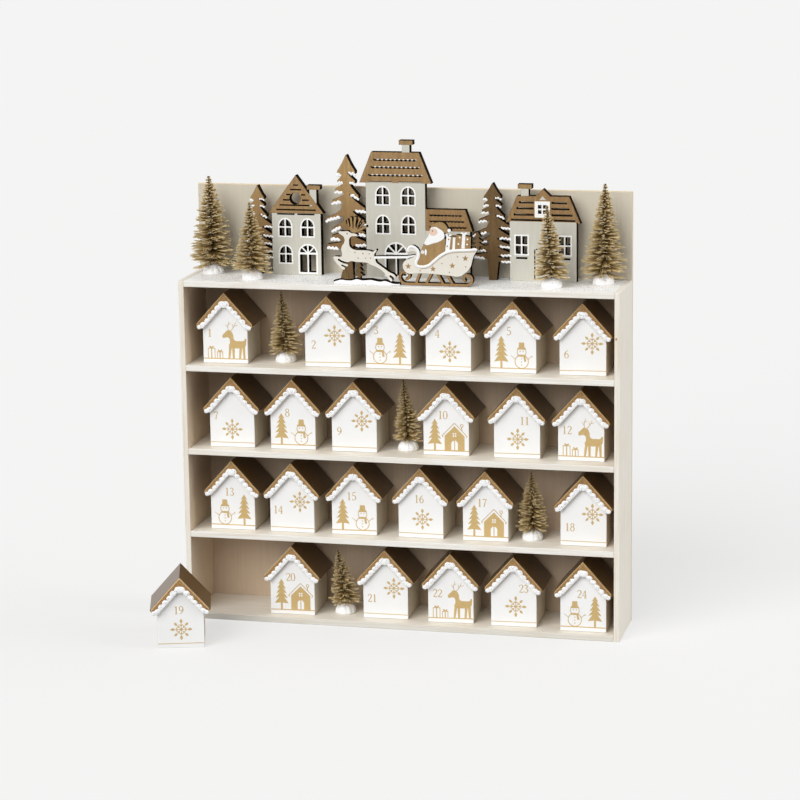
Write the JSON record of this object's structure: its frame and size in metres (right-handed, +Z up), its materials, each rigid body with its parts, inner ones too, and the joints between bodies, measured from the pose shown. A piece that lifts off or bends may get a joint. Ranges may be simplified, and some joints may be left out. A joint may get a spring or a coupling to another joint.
{
  "type": "house advent calendar",
  "caption": "Open wooden cabinet with bays of small numbered gift houses with lift-off roofs, brush trees and a cut-out winter village with a sleigh on top.",
  "frame": {"origin": "centre of the cabinet's underside, on the surface it stands on", "axes": "+Z up, -Y out of the open front, +X to the right seen from the front"},
  "size_m": [0.4167, 0.1722, 0.4368],
  "materials": {
    "whitewashed_pine": "thin white wash over pale pine, grain showing, matt",
    "snowy_pine": "whitewashed pine with snow-like glitter, carrying tan bottle-brush trees",
    "backdrop_wood": "greyish-white wash over thin board, matt",
    "village_wood": "cream painted walls with white window frames and brown stained roofs and firs, dark burnt edges",
    "sleigh_wood": "cream, white and tan painted cut-out with dark burnt edges",
    "house_white": "smooth matt white paint with gold-brown print",
    "roof_brown": "dark brown stain, raw brown board edge and glittering white snow trim"
  },
  "bodies": {
    "cabinet": {"left_side": "whitewashed_pine", "right_side": "whitewashed_pine", "top_board": "snowy_pine", "upper_shelf": "whitewashed_pine", "middle_shelf": "whitewashed_pine", "lower_shelf": "whitewashed_pine", "bottom_board": "whitewashed_pine", "back_board": "backdrop_wood", "left_cottage": "village_wood", "town_house": "village_wood", "right_cottage": "village_wood", "sleigh_scene": "sleigh_wood"},
    "house_01": {"house_01_box": "house_white", "house_01_roof": "roof_brown"},
    "house_02": {"house_02_box": "house_white", "house_02_roof": "roof_brown"},
    "house_03": {"house_03_box": "house_white", "house_03_roof": "roof_brown"},
    "house_04": {"house_04_box": "house_white", "house_04_roof": "roof_brown"},
    "house_05": {"house_05_box": "house_white", "house_05_roof": "roof_brown"},
    "house_06": {"house_06_box": "house_white", "house_06_roof": "roof_brown"},
    "house_07": {"house_07_box": "house_white", "house_07_roof": "roof_brown"},
    "house_08": {"house_08_box": "house_white", "house_08_roof": "roof_brown"},
    "house_09": {"house_09_box": "house_white", "house_09_roof": "roof_brown"},
    "house_10": {"house_10_box": "house_white", "house_10_roof": "roof_brown"},
    "house_11": {"house_11_box": "house_white", "house_11_roof": "roof_brown"},
    "house_12": {"house_12_box": "house_white", "house_12_roof": "roof_brown"},
    "house_13": {"house_13_box": "house_white", "house_13_roof": "roof_brown"},
    "house_14": {"house_14_box": "house_white", "house_14_roof": "roof_brown"},
    "house_15": {"house_15_box": "house_white", "house_15_roof": "roof_brown"},
    "house_16": {"house_16_box": "house_white", "house_16_roof": "roof_brown"},
    "house_17": {"house_17_box": "house_white", "house_17_roof": "roof_brown"},
    "house_18": {"house_18_box": "house_white", "house_18_roof": "roof_brown"},
    "house_19": {"house_19_box": "house_white"},
    "house_19_lid": {"house_19_roof": "roof_brown"},
    "house_20": {"house_20_box": "house_white", "house_20_roof": "roof_brown"},
    "house_21": {"house_21_box": "house_white", "house_21_roof": "roof_brown"},
    "house_22": {"house_22_box": "house_white", "house_22_roof": "roof_brown"},
    "house_23": {"house_23_box": "house_white", "house_23_roof": "roof_brown"},
    "house_24": {"house_24_box": "house_white", "house_24_roof": "roof_brown"}
  },
  "joints": [
    {"name": "house_01_pull", "type": "slide", "parent": "cabinet", "child": "house_01", "axis": [0, -1, 0], "range_m": [0, 0.075]},
    {"name": "house_02_pull", "type": "slide", "parent": "cabinet", "child": "house_02", "axis": [0, -1, 0], "range_m": [0, 0.075]},
    {"name": "house_03_pull", "type": "slide", "parent": "cabinet", "child": "house_03", "axis": [0, -1, 0], "range_m": [0, 0.075]},
    {"name": "house_04_pull", "type": "slide", "parent": "cabinet", "child": "house_04", "axis": [0, -1, 0], "range_m": [0, 0.075]},
    {"name": "house_05_pull", "type": "slide", "parent": "cabinet", "child": "house_05", "axis": [0, -1, 0], "range_m": [0, 0.075]},
    {"name": "house_06_pull", "type": "slide", "parent": "cabinet", "child": "house_06", "axis": [0, -1, 0], "range_m": [0, 0.075]},
    {"name": "house_07_pull", "type": "slide", "parent": "cabinet", "child": "house_07", "axis": [0, -1, 0], "range_m": [0, 0.075]},
    {"name": "house_08_pull", "type": "slide", "parent": "cabinet", "child": "house_08", "axis": [0, -1, 0], "range_m": [0, 0.075]},
    {"name": "house_09_pull", "type": "slide", "parent": "cabinet", "child": "house_09", "axis": [0, -1, 0], "range_m": [0, 0.075]},
    {"name": "house_10_pull", "type": "slide", "parent": "cabinet", "child": "house_10", "axis": [0, -1, 0], "range_m": [0, 0.075]},
    {"name": "house_11_pull", "type": "slide", "parent": "cabinet", "child": "house_11", "axis": [0, -1, 0], "range_m": [0, 0.075]},
    {"name": "house_12_pull", "type": "slide", "parent": "cabinet", "child": "house_12", "axis": [0, -1, 0], "range_m": [0, 0.075]},
    {"name": "house_13_pull", "type": "slide", "parent": "cabinet", "child": "house_13", "axis": [0, -1, 0], "range_m": [0, 0.075]},
    {"name": "house_14_pull", "type": "slide", "parent": "cabinet", "child": "house_14", "axis": [0, -1, 0], "range_m": [0, 0.075]},
    {"name": "house_15_pull", "type": "slide", "parent": "cabinet", "child": "house_15", "axis": [0, -1, 0], "range_m": [0, 0.075]},
    {"name": "house_16_pull", "type": "slide", "parent": "cabinet", "child": "house_16", "axis": [0, -1, 0], "range_m": [0, 0.075]},
    {"name": "house_17_pull", "type": "slide", "parent": "cabinet", "child": "house_17", "axis": [0, -1, 0], "range_m": [0, 0.075]},
    {"name": "house_18_pull", "type": "slide", "parent": "cabinet", "child": "house_18", "axis": [0, -1, 0], "range_m": [0, 0.075]},
    {"name": "house_19_pull", "type": "slide", "parent": "cabinet", "child": "house_19", "axis": [0, -1, 0], "range_m": [0, 0.075]},
    {"name": "house_20_pull", "type": "slide", "parent": "cabinet", "child": "house_20", "axis": [0, -1, 0], "range_m": [0, 0.075]},
    {"name": "house_21_pull", "type": "slide", "parent": "cabinet", "child": "house_21", "axis": [0, -1, 0], "range_m": [0, 0.075]},
    {"name": "house_22_pull", "type": "slide", "parent": "cabinet", "child": "house_22", "axis": [0, -1, 0], "range_m": [0, 0.075]},
    {"name": "house_23_pull", "type": "slide", "parent": "cabinet", "child": "house_23", "axis": [0, -1, 0], "range_m": [0, 0.075]},
    {"name": "house_24_pull", "type": "slide", "parent": "cabinet", "child": "house_24", "axis": [0, -1, 0], "range_m": [0, 0.075]},
    {"name": "house_19_lid_lift", "type": "slide", "parent": "house_19", "child": "house_19_lid", "axis": [0, 0, 1], "range_m": [0, 0.06]}
  ]
}
